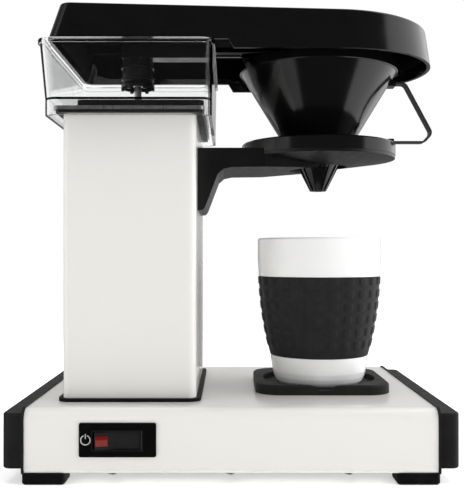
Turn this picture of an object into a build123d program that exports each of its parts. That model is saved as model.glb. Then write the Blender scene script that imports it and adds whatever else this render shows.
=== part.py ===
"""Single-cup drip coffee maker: painted sheet-steel base and tower, clear water tank,
moulded cover, filter funnel on a side arm, and a sleeved porcelain mug on its plate.

Frame: +Z up, X left to right, Y front (-) to back (+), millimetres.
Lengths along X are first laid out from the middle of the base, then every piece is
moved by CENTRE_SHIFT so that the origin sits under the middle of the whole object.
"""
from build123d import *
from math import atan, cos, degrees, radians, sin, tan
import os

# ---------------------------------------------------------------- driving dimensions
CENTRE_SHIFT = -1.4            # middle of the base to middle of the object, along X
AXIS_Y = -8.0                  # plane of the riser, the funnel and the mug
SHEET = 1.2                    # wall of the painted steel shells
GAP = 0.3                      # free play between loose moulded pieces

BASE_HALF = 121.0              # half length of the painted base housing
BASE_FRONT, BASE_BACK = -92.5, 91.5
BASE_LOW, BASE_TOP = 6.5, 44.2
BASE_EDGE = 7.0                # radius of the folded top edges
BASE_HEM = 2.6                 # radius of the folded lower edges
LIP_WIDTH = 14.0               # inward lips under the housing

END_PLATE = 1.5
END_PROUD = 0.8                # how far an end plate stands outside the housing
CAP_THICK = 12.1
CAP_FRONT, CAP_BACK = -90.4, 90.2
CAP_LOW, CAP_TOP = 8.9, 41.6
CAP_WALL = 2.2
CAP_CORNER = 5.0

FOOT_LENGTH, FOOT_DEPTH = 25.4, 18.0

COLUMN = (-104.0, -66.5, -21.5, 63.0)      # x0, y0, x1, y1
COLUMN_CORNER = 5.0
COLUMN_TOP = 221.3
GASKET_PROUD, GASKET_HIGH = 2.8, 2.0

TANK_LOW = (-113.4, -77.0, -11.6, 66.0)    # outline of the skirt
TANK_HIGH = (-116.2, -79.0, -11.1, 68.0)   # outline under the rolled lip
TANK_CORNER = 7.0
TANK_WALL = 2.2
SKIRT_BOTTOM, TANK_FLOOR_LOW, TANK_FLOOR = 219.0, 228.5, 230.0
LIP_LOW, LIP_TOP, LIP_PROUD = 262.2, 265.2, 1.2
COLLAR_TOP, TOP_PLATE_TOP = 223.1, 225.2

RISER_X = -63.9
INLET_X, INLET_Y = -84.0, 25.0             # water outlet in the tank floor

LID_LEFT, LID_LEFT_TOP = -114.2, -105.0
LID_HALF, LID_HALF_TOP = 67.5, 63.0
LID_END_X, LID_Y = 67.6, -9.0              # centre of the round end
LID_CORNER = 8.0
LID_LOW, LID_TOP_LEFT, LID_TOP_RIGHT = 259.5, 288.6, 282.6
LID_WALL = 2.4
LID_STEP_X, LID_STEP_RUN = -1.7, 3.5

TUBE_RADIUS, TUBE_HEIGHT = 3.5, 273.5      # outlet tube over the tank
TUBE_CORNER = 8.0
TUBE_END_X = 56.0
CAGE_R, CAGE_FOOT, CAGE_TOP = 10.4, 250.6, 268.5
SHROUD_HALF, SHROUD_END_X = 6.5, -10.5     # cover round the tube over the tank

FUNNEL_X = 60.0
FUNNEL_SLOPE = 0.6122                      # cone radius per height
CONE_LOW_R, CONE_LOW_Z = 13.6, 194.0
RIM_R, RIM_LOW, RIM_TOP = 53.8, 257.7, 264.0
SPOUT_R, SPOUT_Z = 5.5, 178.0
FLANGE_R, FLANGE_LOW, FLANGE_TOP = 52.3, 201.5, 209.8
FUNNEL_WALL = 2.2

ARM_TOP = 203.5
ARM_FRONT, ARM_BACK = -43.0, 29.0
RING_R, RING_HOLE = 52.0, 19.5

STRAP_WIDTH, STRAP_THICK = 8.0, 1.2

MUG_X = 60.5
MUG_BASE, MUG_TOP = 47.2, 145.7
SLEEVE_LOW, SLEEVE_TOP, SLEEVE_THICK = 66.6, 119.8, 1.9
PLATE_X, PLATE_Y, PLATE_WIDTH, PLATE_DEPTH = 60.3, -5.0, 88.0, 82.0
PLATE_TOP, PLATE_FLOOR, PLATE_RECESS = 50.6, 47.2, 38.2

SWITCH_X, SWITCH_Z = -66.6, 26.2
SWITCH_PLATE = (45.1, 20.0)
ROCKER_ARM, ROCKER_HIGH, ROCKER_SWING = 13.4, 9.9, 7.0
ROCKER_PIVOT_Y, ROCKER_DEPTH = -89.9, 3.0
LENS_X = -9.2                  # middle of the red lens, along the rocker
SWITCH_HALF, SWITCH_HIGH = ROCKER_ARM + 1.05, ROCKER_HIGH / 2 + 0.65
GLAND_X, GLAND_Z, GLAND_BORE = -62.6, 25.0, 3.6
GLAND_END = 96.1               # stands out behind as far as the rocker does in front

BOILER_LOW, BOILER_TOP, BOILER_R = 96.0, 184.0, 17.5
VALVE_LOW, VALVE_TOP = 62.0, 90.0

os.makedirs("parts", exist_ok=True)


# ---------------------------------------------------------------- shared shapes
def save(name, *solids):
    """Write one named piece, or one group of alike pieces, in the object's frame."""
    moved = [Pos(CENTRE_SHIFT, 0, 0) * one for shape in solids for one in shape.solids()]
    export_step(moved[0] if len(moved) == 1 else Compound(children=moved), f"parts/{name}.step")


def block(low, high):
    middle = [(a + b) / 2 for a, b in zip(low, high)]
    return Pos(*middle) * Box(*[b - a for a, b in zip(low, high)])


def rod(x, y, low, high, radius):
    """An upright cylinder."""
    return Pos(x, y, (low + high) / 2) * Cylinder(radius, high - low)


def rod_x(x0, x1, y, z, radius):
    return Pos((x0 + x1) / 2, y, z) * Rot(0, 90, 0) * Cylinder(radius, x1 - x0)


def rod_y(x, y0, y1, z, radius):
    return Pos(x, (y0 + y1) / 2, z) * Rot(90, 0, 0) * Cylinder(radius, y1 - y0)


def slab(outline, inset, low, corner, high=None):
    """A rounded rectangle in plan, as a face at height low or a slab from low to high."""
    x0, y0, x1, y1 = outline
    face = Pos((x0 + x1) / 2, (y0 + y1) / 2, low) * RectangleRounded(
        x1 - x0 - 2 * inset, y1 - y0 - 2 * inset, corner)
    return face if high is None else extrude(face, high - low)


def turned(points, x, y):
    """A solid of revolution from (radius, height) points, about an upright axis."""
    return Pos(x, y, 0) * revolve(Plane.XZ * make_face(Polyline(*points, close=True)), Axis.Z)


def side_profile(points, y0, y1):
    """A closed outline in X and Z, drawn out from y0 to y1."""
    face = Plane.XZ.offset(-y0) * make_face(Polyline(*points, close=True))
    return extrude(face, -(y1 - y0))


def screw(x, y, seat, length, radius=1.4, head_side=-1):
    """A slotted screw: the head sits on the head_side of seat, the shank on the other."""
    head = rod(x, y, *sorted((seat, seat + head_side * 1.8)), radius * 2)
    slot = Pos(x, y, seat + head_side * 1.8) * Box(radius * 4, 0.8, 1.4)
    return head - slot + rod(x, y, *sorted((seat, seat - head_side * length)), radius)


def screw_x(x, y, z, length, radius=1.5):
    """A screw along X whose head lies to the left of x."""
    head = rod_x(x - 1.8, x, y, z, radius * 2) - Pos(x - 1.8, y, z) * Box(1.4, 0.8, radius * 4)
    return head + rod_x(x, x + length, y, z, radius)


# ---------------------------------------------------------------- base
FOOT_SCREWS = [(sx * 110.0, y) for sx in (-1, 1) for y in (-83.5, 82.5)]
LIP_SCREWS = [(x, y) for x in (-70.0, 0.0, 70.0) for y in (-84.0, 83.0)]
COLUMN_SCREWS = [(x, y) for x in (-97.0, -28.5) for y in (-58.0, 54.5)]
PLATE_SCREWS = [(PLATE_X + dx, PLATE_Y + dy) for dx in (-36.0, 36.0) for dy in (-33.0, 33.0)]
CAP_SCREWS = [(y, 25.2) for y in (-70.0, 0.0, 70.0)]


def folded_section(grow, low_radius, top_radius):
    """The rounded section of the housing, grown outwards, drawn in Y and Z."""
    width = BASE_BACK - BASE_FRONT + 2 * grow
    height = BASE_TOP - BASE_LOW + 2 * grow
    face = Pos((BASE_FRONT + BASE_BACK) / 2, (BASE_LOW + BASE_TOP) / 2) * Rectangle(width, height)
    face = fillet(face.vertices().sort_by(Axis.Y)[2:], top_radius)
    return fillet(face.vertices().sort_by(Axis.Y)[:2], low_radius)


def base_housing():
    ring = folded_section(0, BASE_HEM, BASE_EDGE)
    ring -= folded_section(-SHEET, BASE_HEM - SHEET, BASE_EDGE - SHEET)
    shell = extrude(Plane.YZ.offset(-BASE_HALF) * ring, 2 * BASE_HALF)
    under = block((-BASE_HALF, BASE_FRONT + LIP_WIDTH, 0), (BASE_HALF, BASE_BACK - LIP_WIDTH, BASE_LOW + 5))
    shell -= under
    shell -= slab((-92, -50, -33, 46), 0, BASE_TOP - 5, 4, BASE_TOP + 5)
    shell -= Pos(SWITCH_X, 0, SWITCH_Z) * switch_opening()
    shell -= rod_y(GLAND_X, BASE_BACK - 5, BASE_BACK + 5, GLAND_Z, 6.6)
    for x, y in FOOT_SCREWS + LIP_SCREWS:
        shell -= rod(x, y, BASE_LOW - 1, BASE_LOW + 3, 1.5)
    for x, y in COLUMN_SCREWS + PLATE_SCREWS:
        shell -= rod(x, y, BASE_TOP - 3, BASE_TOP + 3, 1.5)
    return shell


def switch_opening():
    """The cut-out for the switch body, through the housing's front and the label plate."""
    half, high = SWITCH_HALF + 0.1, SWITCH_HIGH + 0.1
    return block((-half, BASE_FRONT - 5, -high), (half, BASE_FRONT + 5, high))


def bottom_plate():
    """Pressed plate that closes the housing, with rows of cooling slots."""
    low = BASE_LOW + SHEET
    plate = slab((-119.5, -89.3, 119.5, 88.3), 0, low, 3, low + SHEET)
    for row in range(2):
        for number in range(12):
            x, y = -88.0 + 16.0 * number, -28.0 + 56.0 * row
            plate -= slab((x - 2, y - 16, x + 2, y + 16), 0, low - 1, 1.9, low + 2)
    for x, y in FOOT_SCREWS + LIP_SCREWS:
        plate -= rod(x, y, low - 1, low + 3, 1.45)
    return plate


def end_plate(side):
    """Black end plate, a little proud of the painted housing all round."""
    face = folded_section(END_PROUD, BASE_HEM, BASE_EDGE)
    x = BASE_HALF if side > 0 else -BASE_HALF - END_PLATE
    plate = extrude(Plane.YZ.offset(x) * face, END_PLATE)
    plate -= block((x - 1, -100, 0), (x + END_PLATE + 1, 100, BASE_LOW))
    for y, z in CAP_SCREWS:
        plate -= rod_x(x - 1, x + END_PLATE + 1, y, z, 1.6)
    return plate


def end_cap(side):
    """Moulded end block: a shell closed on the outside, with three screw bosses."""
    inner, outer = BASE_HALF + END_PLATE, BASE_HALF + END_PLATE + CAP_THICK
    x0, x1 = sorted((side * inner, side * outer))
    solid = block((x0, CAP_FRONT, CAP_LOW), (x1, CAP_BACK, CAP_TOP))
    upright = solid.edges().filter_by(Axis.Z).sort_by(Axis.X)
    solid = fillet(upright[2:] if side > 0 else upright[:2], CAP_CORNER)
    level = solid.faces().sort_by(Axis.Z)
    rim_edges = [edge for face in (level[0], level[-1]) for edge in face.edges()
                 if abs(edge.center().X) > inner + 0.1]
    solid = fillet(rim_edges, 1.2)
    hollow = block((x0 + (0 if side > 0 else CAP_WALL), CAP_FRONT + CAP_WALL, CAP_LOW + CAP_WALL),
                   (x1 - (CAP_WALL if side > 0 else 0), CAP_BACK - CAP_WALL, CAP_TOP - CAP_WALL))
    solid -= hollow
    for y, z in CAP_SCREWS:
        solid += rod_x(x0 + (0 if side > 0 else 1), x1 - (1 if side > 0 else 0), y, z, 4.0)
        start, end = (inner - 1, inner + 9) if side > 0 else (-inner - 9, -inner + 1)
        solid -= rod_x(start, end, y, z, 1.55)
    return solid


def foot(side, back):
    x0, x1 = sorted((side * (BASE_HALF + END_PLATE), side * (BASE_HALF + END_PLATE - FOOT_LENGTH)))
    y0 = BASE_BACK - FOOT_DEPTH if back else BASE_FRONT
    pad = slab((x0, y0, x1, y0 + FOOT_DEPTH), 0, 0, 2.5, BASE_LOW)
    pad = chamfer(pad.faces().sort_by(Axis.Z)[0].edges(), 1.0)
    x, y = [spot for spot in FOOT_SCREWS if spot[0] * side > 0 and (spot[1] > 0) == back][0]
    return pad - rod(x, y, -1, 3, 3.4) - rod(x, y, -1, BASE_LOW + 1, 1.5)


def base():
    save("base_housing", base_housing())
    save("base_bottom_plate", bottom_plate())
    for name, side in (("left", -1), ("right", 1)):
        save(f"end_plate_{name}", end_plate(side))
        save(f"end_cap_{name}", end_cap(side))
        save(f"foot_front_{name}", foot(side, False))
        save(f"foot_back_{name}", foot(side, True))
    save("foot_screws", *[screw(x, y, 3.0, 8.0) for x, y in FOOT_SCREWS])
    save("bottom_screws", *[screw(x, y, BASE_LOW, 4.5) for x, y in LIP_SCREWS])
    cap_screws = [screw_x(BASE_HALF, y, z, 8) for y, z in CAP_SCREWS]
    save("end_cap_screws", *cap_screws, *[mirror(one, Plane.YZ) for one in cap_screws])


# ---------------------------------------------------------------- switch and inlet
def rocker_solid():
    """Rocker with two shallow faces that meet at the middle, drawn at half swing, and its lens."""
    swing = radians(ROCKER_SWING)
    tip_x, tip_y = ROCKER_ARM * cos(swing), -ROCKER_DEPTH - ROCKER_ARM * sin(swing)
    outline = Polyline((0, -ROCKER_DEPTH), (tip_x, tip_y), (tip_x - 1.2, 3.0), (1.8, 5.5), (-1.8, 5.5),
                       (1.2 - tip_x, 3.0), (-tip_x, tip_y), close=True)
    body = Pos(0, 0, -ROCKER_HIGH / 2) * extrude(make_face(outline), ROCKER_HIGH)
    body += Cylinder(1.2, ROCKER_HIGH + 1.0)
    face = Pos(LENS_X, -ROCKER_DEPTH + LENS_X * tan(swing), 0) * Rot(0, 0, ROCKER_SWING)
    pocket = face * Pos(0, 1.0, 0) * Box(7.2, 3.0, 6.3)
    lens = face * Pos(0, 1.05, 0) * Box(7.0, 2.7, 6.1)
    return body - pocket, fillet(lens.faces().sort_by(Axis.Y)[0].edges(), 0.25)


def switch():
    """Label plate, switch body with its bezel, four tabs, and the rocker on two stub pins."""
    at = Pos(SWITCH_X, 0, SWITCH_Z)
    half, high = SWITCH_HALF, SWITCH_HIGH
    front = BASE_FRONT - 0.8
    long, tall = SWITCH_PLATE
    outline = Pos(-66.2, 26.5) * RectangleRounded(long, tall, 1.2)
    plate = extrude(Plane.XZ.offset(-BASE_FRONT) * outline, 0.8)
    save("switch_plate", plate - at * switch_opening())
    body = block((-half, front - 1.0, -high), (half, front + 20, high))
    bezel = block((-half - 0.4, front - 1.0, -high - 0.4), (half + 0.4, front, high + 0.4))
    body += chamfer(bezel.faces().sort_by(Axis.Y)[0].edges(), 0.3)
    body -= block((-ROCKER_ARM - 0.55, front - 3, -ROCKER_HIGH / 2 - 0.15),
                  (ROCKER_ARM + 0.55, front + 16, ROCKER_HIGH / 2 + 0.15))
    body -= Pos(0, ROCKER_PIVOT_Y, 0) * Cylinder(1.25, ROCKER_HIGH + 1.1)
    save("switch_body", at * body)
    back = front + 20
    save("switch_tabs", *[at * block((x - 3.1, back, z - 0.4), (x + 3.1, back + 8, z + 0.4))
                          for x in (-8, 8) for z in (-2.5, 2.5)])
    right_pressed = at * Pos(0, ROCKER_PIVOT_Y, 0) * Rot(0, 0, ROCKER_SWING)
    rocker, lens = rocker_solid()
    save("rocker", right_pressed * rocker)
    save("rocker_lens", right_pressed * lens)


def gland():
    body = rod_y(GLAND_X, BASE_BACK, BASE_BACK + 1.8, GLAND_Z, 9.0)
    body += rod_y(GLAND_X, BASE_BACK - 12, GLAND_END, GLAND_Z, 6.5)
    body = fillet(body.faces().sort_by(Axis.Y)[-1].edges(), 1.2)
    hole = rod_y(GLAND_X, BASE_BACK - 20, BASE_BACK + 10, GLAND_Z, GLAND_BORE)
    save("cable_gland", body - hole)
    nut = Pos(GLAND_X, BASE_BACK - SHEET, GLAND_Z) * Rot(90, 0, 0) * extrude(RegularPolygon(10.0, 6), 4.5)
    save("gland_nut", nut - rod_y(GLAND_X, BASE_BACK - 20, BASE_BACK + 10, GLAND_Z, 6.55))


# ---------------------------------------------------------------- tower
def column():
    foot_top = BASE_TOP + SHEET
    shell = slab(COLUMN, 0, BASE_TOP, COLUMN_CORNER, COLUMN_TOP)
    shell -= slab(COLUMN, SHEET, foot_top, COLUMN_CORNER - SHEET, COLUMN_TOP + 1)
    shell -= slab(COLUMN, 13, BASE_TOP - 1, 3, foot_top + 1)
    for x, y in COLUMN_SCREWS:
        shell -= rod(x, y, BASE_TOP - 1, foot_top + 1, 1.45)
    for y, z in HOLDER_SCREWS:
        shell -= rod_x(COLUMN[2] - 5, COLUMN[2] + 5, y, z, 1.6)
    save("column_shell", shell)
    gasket = slab(COLUMN, -GASKET_PROUD, BASE_TOP, COLUMN_CORNER + GASKET_PROUD, BASE_TOP + GASKET_HIGH)
    save("column_gasket", gasket - slab(COLUMN, 0, BASE_TOP - 1, COLUMN_CORNER, BASE_TOP + 9))
    seat = BASE_TOP - SHEET
    save("column_screws", *[screw(x, y, seat, 4.5) for x, y in COLUMN_SCREWS])


def tank_holes(radius_riser, radius_inlet):
    return [rod(RISER_X, AXIS_Y, 200, 240, radius_riser), rod(INLET_X, INLET_Y, 200, 240, radius_inlet)]


def tower_top():
    collar = slab(TANK_LOW, TANK_WALL + 3.6, COLUMN_TOP, 4, COLLAR_TOP)
    collar += slab(COLUMN, SHEET + GAP, COLUMN_TOP - 8, COLUMN_CORNER - SHEET, COLUMN_TOP)
    collar -= slab(COLUMN, SHEET + 3, COLUMN_TOP - 9, 3, COLLAR_TOP + 1)
    save("tower_collar", collar)
    plate = slab(TANK_LOW, TANK_WALL + 2.4, COLLAR_TOP, 4, TOP_PLATE_TOP)
    seal_outline = (-94.0, TANK_LOW[1] + 4, TANK_LOW[2] - 5, TANK_LOW[3] - 4)
    seal = slab(seal_outline, 0, TOP_PLATE_TOP, 5, TANK_FLOOR_LOW)
    for hole in tank_holes(2.6, 5.0):
        plate -= hole
        seal -= hole
    save("tower_top_plate", plate)
    save("tank_seal", seal)


def tank():
    """Clear tank: tapered walls, thick floor, rolled lip, and a skirt over the tower top."""
    shell = slab(TANK_LOW, 0, SKIRT_BOTTOM, TANK_CORNER, TANK_FLOOR_LOW)
    shell += loft([slab(TANK_LOW, 0, TANK_FLOOR_LOW, TANK_CORNER),
                   slab(TANK_HIGH, 0, LIP_LOW, TANK_CORNER)])
    shell += slab(TANK_HIGH, -LIP_PROUD, LIP_LOW, TANK_CORNER + LIP_PROUD, LIP_TOP)
    lip_edges = shell.faces().sort_by(Axis.Z)[-1].edges()
    shell = fillet(lip_edges, 1.0)
    shell -= loft([slab(TANK_LOW, TANK_WALL, TANK_FLOOR, TANK_CORNER - TANK_WALL),
                   slab(TANK_HIGH, TANK_WALL, LIP_TOP + 1, TANK_CORNER - TANK_WALL)])
    shell -= slab(TANK_LOW, TANK_WALL, SKIRT_BOTTOM - 1, TANK_CORNER - TANK_WALL, TANK_FLOOR_LOW)
    for hole in tank_holes(3.6, 6.0):
        shell -= hole
    save("tank", shell)
    grommet = rod(RISER_X, AXIS_Y, TANK_FLOOR_LOW, TANK_FLOOR, 3.6)
    grommet += rod(RISER_X, AXIS_Y, TANK_FLOOR, 233.5, 6.0)
    save("riser_grommet", grommet - rod(RISER_X, AXIS_Y, 200, 240, 2.55))
    strainer = rod(0, 0, TANK_FLOOR, 232.5, 8.0) + rod(0, 0, 232.5, 240.0, 6.2)
    strainer += rod(0, 0, 205.0, TANK_FLOOR, 4.8)
    strainer -= rod(0, 0, 200.0, 238.5, 3.4)
    for number in range(6):
        strainer -= Rot(0, 0, 60 * number) * Pos(5, 0, 235.5) * Box(6, 1.6, 4.0)
    save("tank_strainer", Pos(INLET_X, INLET_Y, 0) * strainer)


def riser():
    """Fixed riser pipe, and the lift-off outlet tube that slides over it with its cage and shroud."""
    pipe = rod(RISER_X, AXIS_Y, 203, 262, 2.5) - rod(RISER_X, AXIS_Y, 190, 270, 1.7)
    save("riser_tube", pipe)
    low_end = (RISER_X, AXIS_Y, 250.0)
    path = FilletPolyline(low_end, (RISER_X, AXIS_Y, TUBE_HEIGHT), (TUBE_END_X, AXIS_Y, TUBE_HEIGHT),
                          radius=TUBE_CORNER)
    save("outlet_tube", sweep(Plane(low_end) * (Circle(TUBE_RADIUS) - Circle(TUBE_RADIUS - 0.92)), path))
    save("riser_cage", cage() - sweep(Plane(low_end) * Circle(TUBE_RADIUS + 0.02), path))
    spray_head()


def cage():
    """Ringed cage with a toothed bell foot, and the shroud that covers the tube over the tank."""
    rings = [(0, CAGE_FOOT), (9.4, CAGE_FOOT), (11.4, 248.6), (11.4, 251.0), (CAGE_R, 252.2)]
    for z in (253.8, 261.8):
        rings += [(CAGE_R, z), (CAGE_R + 0.8, z), (CAGE_R + 0.8, z + 1.6), (CAGE_R, z + 1.6)]
    made = turned(rings + [(CAGE_R, CAGE_TOP), (0, CAGE_TOP)], RISER_X, AXIS_Y)
    for number in range(6):
        made += Pos(RISER_X, AXIS_Y, 248.6) * Rot(0, 0, 60 * number) * Pos(10.5, 0, 0) * Box(1.8, 2.0, 2.8)
    shroud = block((RISER_X - CAGE_R, AXIS_Y - SHROUD_HALF, CAGE_TOP),
                   (SHROUD_END_X, AXIS_Y + SHROUD_HALF, TUBE_HEIGHT + 5.0))
    return made + fillet(shroud.faces().sort_by(Axis.Z)[-1].edges(), 2.0)


def spray_head():
    """Round head that showers the water onto the coffee through eight holes."""
    head = turned([(0, 265.6), (15.0, 265.6), (16.0, 266.6), (16.0, 269.0), (7.0, 270.5), (7.0, 279.0),
                   (0, 279.0)], FUNNEL_X, AXIS_Y)
    head -= rod_x(TUBE_END_X - 10, TUBE_END_X, AXIS_Y, TUBE_HEIGHT, TUBE_RADIUS + 0.02)
    head -= rod_x(TUBE_END_X, FUNNEL_X + 2, AXIS_Y, TUBE_HEIGHT, 2.4)
    head -= rod(FUNNEL_X, AXIS_Y, 267.6, TUBE_HEIGHT, 3.0)
    head -= rod(FUNNEL_X, AXIS_Y, 267.2, 268.4, 12.0)
    for number in range(8):
        head -= Pos(FUNNEL_X, AXIS_Y, 0) * Rot(0, 0, 45 * number) * rod(9.5, 0, 264, 268, 1.2)
    save("spray_head", head)


# ---------------------------------------------------------------- cover
def lid_outline(left, half_width, height, corner=LID_CORNER):
    """A plan outline with square-cut left end and a half-round right end."""
    end = ThreePointArc((LID_END_X, -half_width), (LID_END_X + half_width, 0), (LID_END_X, half_width))
    sides = Polyline((LID_END_X, half_width), (left, half_width), (left, -half_width),
                     (LID_END_X, -half_width))
    face = make_face(end + sides)
    face = fillet(face.vertices().sort_by(Axis.X)[:2], corner)
    return Pos(0, LID_Y, height) * face


def cover_top(x):
    """Height of the cover's sloping top."""
    slope = (LID_TOP_LEFT - LID_TOP_RIGHT) / (LID_END_X + LID_HALF_TOP - LID_LEFT_TOP)
    return LID_TOP_LEFT - slope * (x - LID_LEFT_TOP)


def above_cover(drop):
    """Everything over the sloping top of the cover, lowered by drop."""
    x0, x1 = LID_LEFT - 10, LID_END_X + LID_HALF + 10
    z0, z1 = cover_top(x0) - drop, cover_top(x1) - drop
    return side_profile([(x0, z0), (x1, z1), (x1, z0 + 30), (x0, z0 + 30)], -100, 100)


def lid():
    """Hollow cover: tapered sides, sloping top, stiffening ribs, and a step over the tank's lip."""
    top = LID_TOP_LEFT + 1.0
    shell = loft([lid_outline(LID_LEFT, LID_HALF, LID_LOW),
                  lid_outline(LID_LEFT_TOP, LID_HALF_TOP, top)], ruled=True) - above_cover(0)
    shell = fillet(shell.faces().sort_by(Axis.Z)[-1].edges(), 1.5)
    corner = LID_CORNER - LID_WALL
    cavity = loft([lid_outline(LID_LEFT + LID_WALL, LID_HALF - LID_WALL, LID_LOW - 0.01, corner),
                   lid_outline(LID_LEFT_TOP + LID_WALL, LID_HALF_TOP - LID_WALL, top, corner)], ruled=True)
    shell -= cavity - above_cover(LID_WALL)
    for y in (-34.0, 16.0):
        shell += block((-103.0, y - 0.8, 279.0), (-33.0, y + 0.8, cover_top(-33) - 1))
    for x, half in ((10.0, 62.8), (104.0, 50.5)):
        shell += block((x - 0.8, LID_Y - half, cover_top(x) - 6), (x + 0.8, LID_Y + half, cover_top(x) - 1))
    step = [(LID_LEFT - 10, LID_LOW - 1), (LID_STEP_X + LID_STEP_RUN, LID_LOW - 1),
            (LID_STEP_X + LID_STEP_RUN, LID_LOW), (LID_STEP_X, LIP_TOP), (LID_LEFT - 10, LIP_TOP)]
    save("lid", shell - side_profile(step, -100, 100))


# ---------------------------------------------------------------- funnel and its arm
HOLDER_SCREWS = [(y, z) for y in (-32.0, 18.0) for z in (176.0, 195.5)]


def holder():
    """Hollow side arm with the ring that the funnel's flange rests in, and its screw bosses."""
    side = side_profile([(COLUMN[2], ARM_TOP), (58, ARM_TOP), (58, 192.6), (24, 191.3), (0.4, 191.0),
                         (-4.9, 189.8), (-8.6, 186.5), (-16.6, 165.4), (-18.2, 163.4), (COLUMN[2], 163.0)],
                        ARM_FRONT, ARM_BACK)
    plan = make_face(Polyline((COLUMN[2], ARM_FRONT), (22, ARM_FRONT), (58, -28), (58, 12), (22, ARM_BACK),
                              (COLUMN[2], ARM_BACK), close=True))
    arm = side & (Pos(0, 0, 150) * extrude(plan, 60))
    arm += turned([(RING_HOLE, 194.5), (RING_R, 199.3), (RING_R, FLANGE_LOW), (RING_HOLE, FLANGE_LOW)],
                  FUNNEL_X, AXIS_Y)
    arm -= turned([(0, 196.8), (RING_HOLE, 196.8), (49.5, 201.0), (49.5, FLANGE_LOW),
                   (FLANGE_R + GAP, FLANGE_LOW), (FLANGE_R + GAP, 215), (0, 215)], FUNNEL_X, AXIS_Y)
    arm -= rod(FUNNEL_X, AXIS_Y, 180, 210, RING_HOLE)
    arm -= side_profile([(COLUMN[2] - 1, 201), (3, 201), (3, 193.6), (-2, 193.6), (-10.8, 188.4),
                         (-18.0, 169.0), (COLUMN[2] - 1, 166)], ARM_FRONT + 2.5, ARM_BACK - 2.5)
    for y, z in HOLDER_SCREWS:
        arm += rod_x(COLUMN[2], COLUMN[2] + (8 if z < 180 else 26), y, z, 4.0)
        arm -= rod_x(COLUMN[2] - 1, COLUMN[2] + 7, y, z, 1.55)
    save("basket_holder", arm)
    inner_face = COLUMN[2] - SHEET
    save("holder_screws", *[screw_x(inner_face, y, z, 7.5) for y, z in HOLDER_SCREWS])


# span along the radius, pin place and height of the two lugs that hold the handle strap
STRAP_LUGS = [((47.6, 51.4), 50.2, 211.6), ((46.2, 52.6), 50.6, 251.7)]


def cone_radius(z):
    return CONE_LOW_R + FUNNEL_SLOPE * (z - CONE_LOW_Z)


def funnel():
    """Filter cone with a rim band, a flange that sits on the ring, and a finned spout."""
    outline = [(2.5, SPOUT_Z), (SPOUT_R - 1, SPOUT_Z), (CONE_LOW_R - 1, CONE_LOW_Z),
               (cone_radius(207.6), 207.6), (FLANGE_R - FUNNEL_WALL, 207.6),
               (FLANGE_R - FUNNEL_WALL, FLANGE_LOW), (FLANGE_R, FLANGE_LOW),
               (FLANGE_R, FLANGE_TOP - 0.8), (FLANGE_R - 0.8, FLANGE_TOP),
               (cone_radius(FLANGE_TOP), FLANGE_TOP),
               (cone_radius(RIM_LOW), RIM_LOW), (RIM_R - 0.4, RIM_LOW), (RIM_R, RIM_LOW + 0.4),
               (RIM_R, RIM_TOP - 0.7), (RIM_R - 0.7, RIM_TOP), (RIM_R - 2.4, RIM_TOP),
               (cone_radius(RIM_LOW) - 2.6, RIM_LOW - 0.5), (cone_radius(194) - 3.0, 193.6), (2.5, 187.0)]
    body = turned(outline, 0, 0)
    tilt = degrees(atan(FUNNEL_SLOPE))
    for number in range(12):
        fin = side_profile([(2.6, SPOUT_Z), (SPOUT_R, SPOUT_Z), (CONE_LOW_R, CONE_LOW_Z),
                            (CONE_LOW_R + 1.2, 196.5), (CONE_LOW_R - 2, 196.5), (CONE_LOW_R - 2, 193.5),
                            (2.6, 184)], -0.7, 0.7)
        rib = Pos(cone_radius(228) - 3.0, 0, 228) * Rot(0, tilt, 0) * Box(2.0, 1.4, 56)
        body += Rot(0, 0, 30 * number) * fin
        body += Rot(0, 0, 30 * number + 15) * rib
    for (x0, x1), pin_x, z in STRAP_LUGS:
        body += block((x0, -5, z - 2.1), (x1, 5, z + 2.1))
        slot_x = x0 + 1.2 if z < RIM_LOW - 20 else x1 - 4.6
        body -= block((slot_x, -STRAP_WIDTH / 2 - 0.1, z - 0.7), (x1 + 9, STRAP_WIDTH / 2 + 0.1, z + 0.7))
        body -= rod(pin_x, 0, z - 1.5, z + 3, 0.85)
    save("filter_funnel", Pos(FUNNEL_X, AXIS_Y, 0) * body)
    (_, low_pin, low_z), (_, high_pin, high_z) = STRAP_LUGS
    corners = [(FUNNEL_X + high_pin - 1.8, high_z), (119.4, high_z), (137.75, 217.6), (132.4, low_z),
               (FUNNEL_X + low_pin - 1.2, low_z)]
    path = FilletPolyline(*[(x, AXIS_Y, z) for x, z in corners], radius=4.0)
    section = Plane(path @ 0, x_dir=(0, 1, 0), z_dir=path % 0) * Rectangle(STRAP_WIDTH, STRAP_THICK)
    strap = sweep(section, path)
    pins = []
    for _, x, z in STRAP_LUGS:
        strap -= rod(FUNNEL_X + x, AXIS_Y, z - 3, z + 3, 0.85)
        pins.append(rod(FUNNEL_X + x, AXIS_Y, z - 1.5, z + 2.1, 0.8))
    save("basket_handle", strap)
    save("handle_pins", *pins)


# ---------------------------------------------------------------- mug and its plate
def sleeve_edge(inward):
    """The gently bowed side of the sleeve, as an arc in radius and height."""
    return ThreePointArc((33.4 - inward, SLEEVE_LOW), (38.85 - inward, 93.2), (41.3 - inward, SLEEVE_TOP))


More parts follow.
